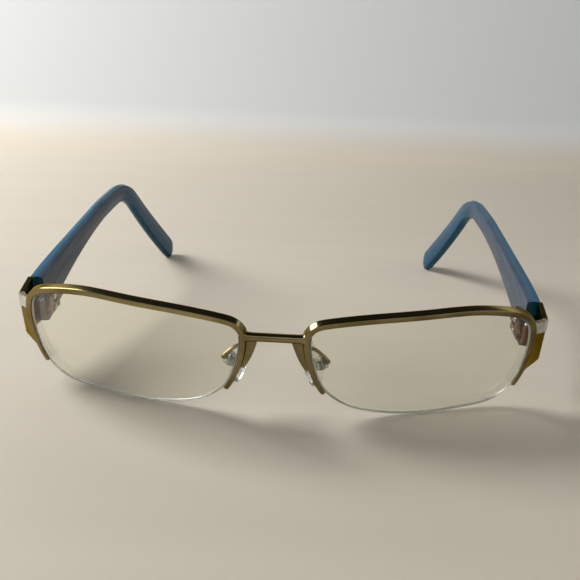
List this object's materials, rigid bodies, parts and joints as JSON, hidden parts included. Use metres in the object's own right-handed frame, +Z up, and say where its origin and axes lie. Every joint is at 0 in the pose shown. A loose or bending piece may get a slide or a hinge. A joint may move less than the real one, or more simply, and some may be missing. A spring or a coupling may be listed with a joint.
{
  "type": "eyeglasses",
  "caption": "Semi-rimless eyeglasses with a slim metal upper rim and bridge, clear lenses held by cord, rocking nose pads and broad acetate temples that fold on hinges.",
  "frame": {"origin": "centre of the bottom of the bounding box, with the glasses open and standing on their lenses and temple tips", "axes": "-Y out of the lenses towards the viewer, +Y back along the temples, +Z up, +X to the side named right, which is the viewer's right in front of the glasses"},
  "size_m": [0.134, 0.1484, 0.0367],
  "materials": {
    "antique_gold": "polished satin, antique gold to olive bronze",
    "silver_accent": "bright satin",
    "hinge_bronze": "copper-bronze plating",
    "screw_steel": "polished",
    "blue_acetate": "laminated translucent acetate, polished",
    "lens_glass": "clear optical resin, coated",
    "nylon": "clear monofilament",
    "clear_silicone": "soft clear silicone"
  },
  "bodies": {
    "frame": {"bridge": "antique_gold", "right_eyewire": "antique_gold", "right_rim_liner": "nylon", "right_lens": "lens_glass", "right_nylon_cord": "nylon", "right_nasal_fin": "antique_gold", "right_pad_arm": "antique_gold", "right_pad_box": "screw_steel", "right_pad_screw": "screw_steel", "right_endpiece": "antique_gold", "right_accent_trim": "silver_accent", "right_front_hinge": "hinge_bronze", "right_hinge_screw": "screw_steel", "left_eyewire": "antique_gold", "left_rim_liner": "nylon", "left_lens": "lens_glass", "left_nylon_cord": "nylon", "left_nasal_fin": "antique_gold", "left_pad_arm": "antique_gold", "left_pad_box": "screw_steel", "left_pad_screw": "screw_steel", "left_endpiece": "antique_gold", "left_accent_trim": "silver_accent", "left_front_hinge": "hinge_bronze", "left_hinge_screw": "screw_steel"},
    "right_temple": {"right_temple_hinge": "hinge_bronze", "right_lower_rivet": "screw_steel", "right_upper_rivet": "screw_steel", "right_temple": "blue_acetate", "right_core_wire": "screw_steel"},
    "right_pad": {"right_nose_pad": "clear_silicone"},
    "left_temple": {"left_temple_hinge": "hinge_bronze", "left_lower_rivet": "screw_steel", "left_upper_rivet": "screw_steel", "left_temple": "blue_acetate", "left_core_wire": "screw_steel"},
    "left_pad": {"left_nose_pad": "clear_silicone"}
  },
  "joints": [
    {"name": "right_temple_fold", "type": "hinge", "parent": "frame", "child": "right_temple", "pos_m": [0.06393, -0.04406, 0.01844], "axis": [0, -0.1547, 0.988], "range_deg": [0, 92]},
    {"name": "left_temple_fold", "type": "hinge", "parent": "frame", "child": "left_temple", "pos_m": [-0.06393, -0.04406, 0.01844], "axis": [0, 0.1547, -0.988], "range_deg": [0, 86]},
    {"name": "right_pad_rock", "type": "hinge", "parent": "frame", "child": "right_pad", "pos_m": [0.01045, -0.06354, 0.01593], "axis": [0.4695, 0.8829, 0], "range_deg": [-8, 8]},
    {"name": "left_pad_rock", "type": "hinge", "parent": "frame", "child": "left_pad", "pos_m": [-0.01045, -0.06354, 0.01593], "axis": [-0.4695, 0.8829, 0], "range_deg": [-8, 8]}
  ]
}
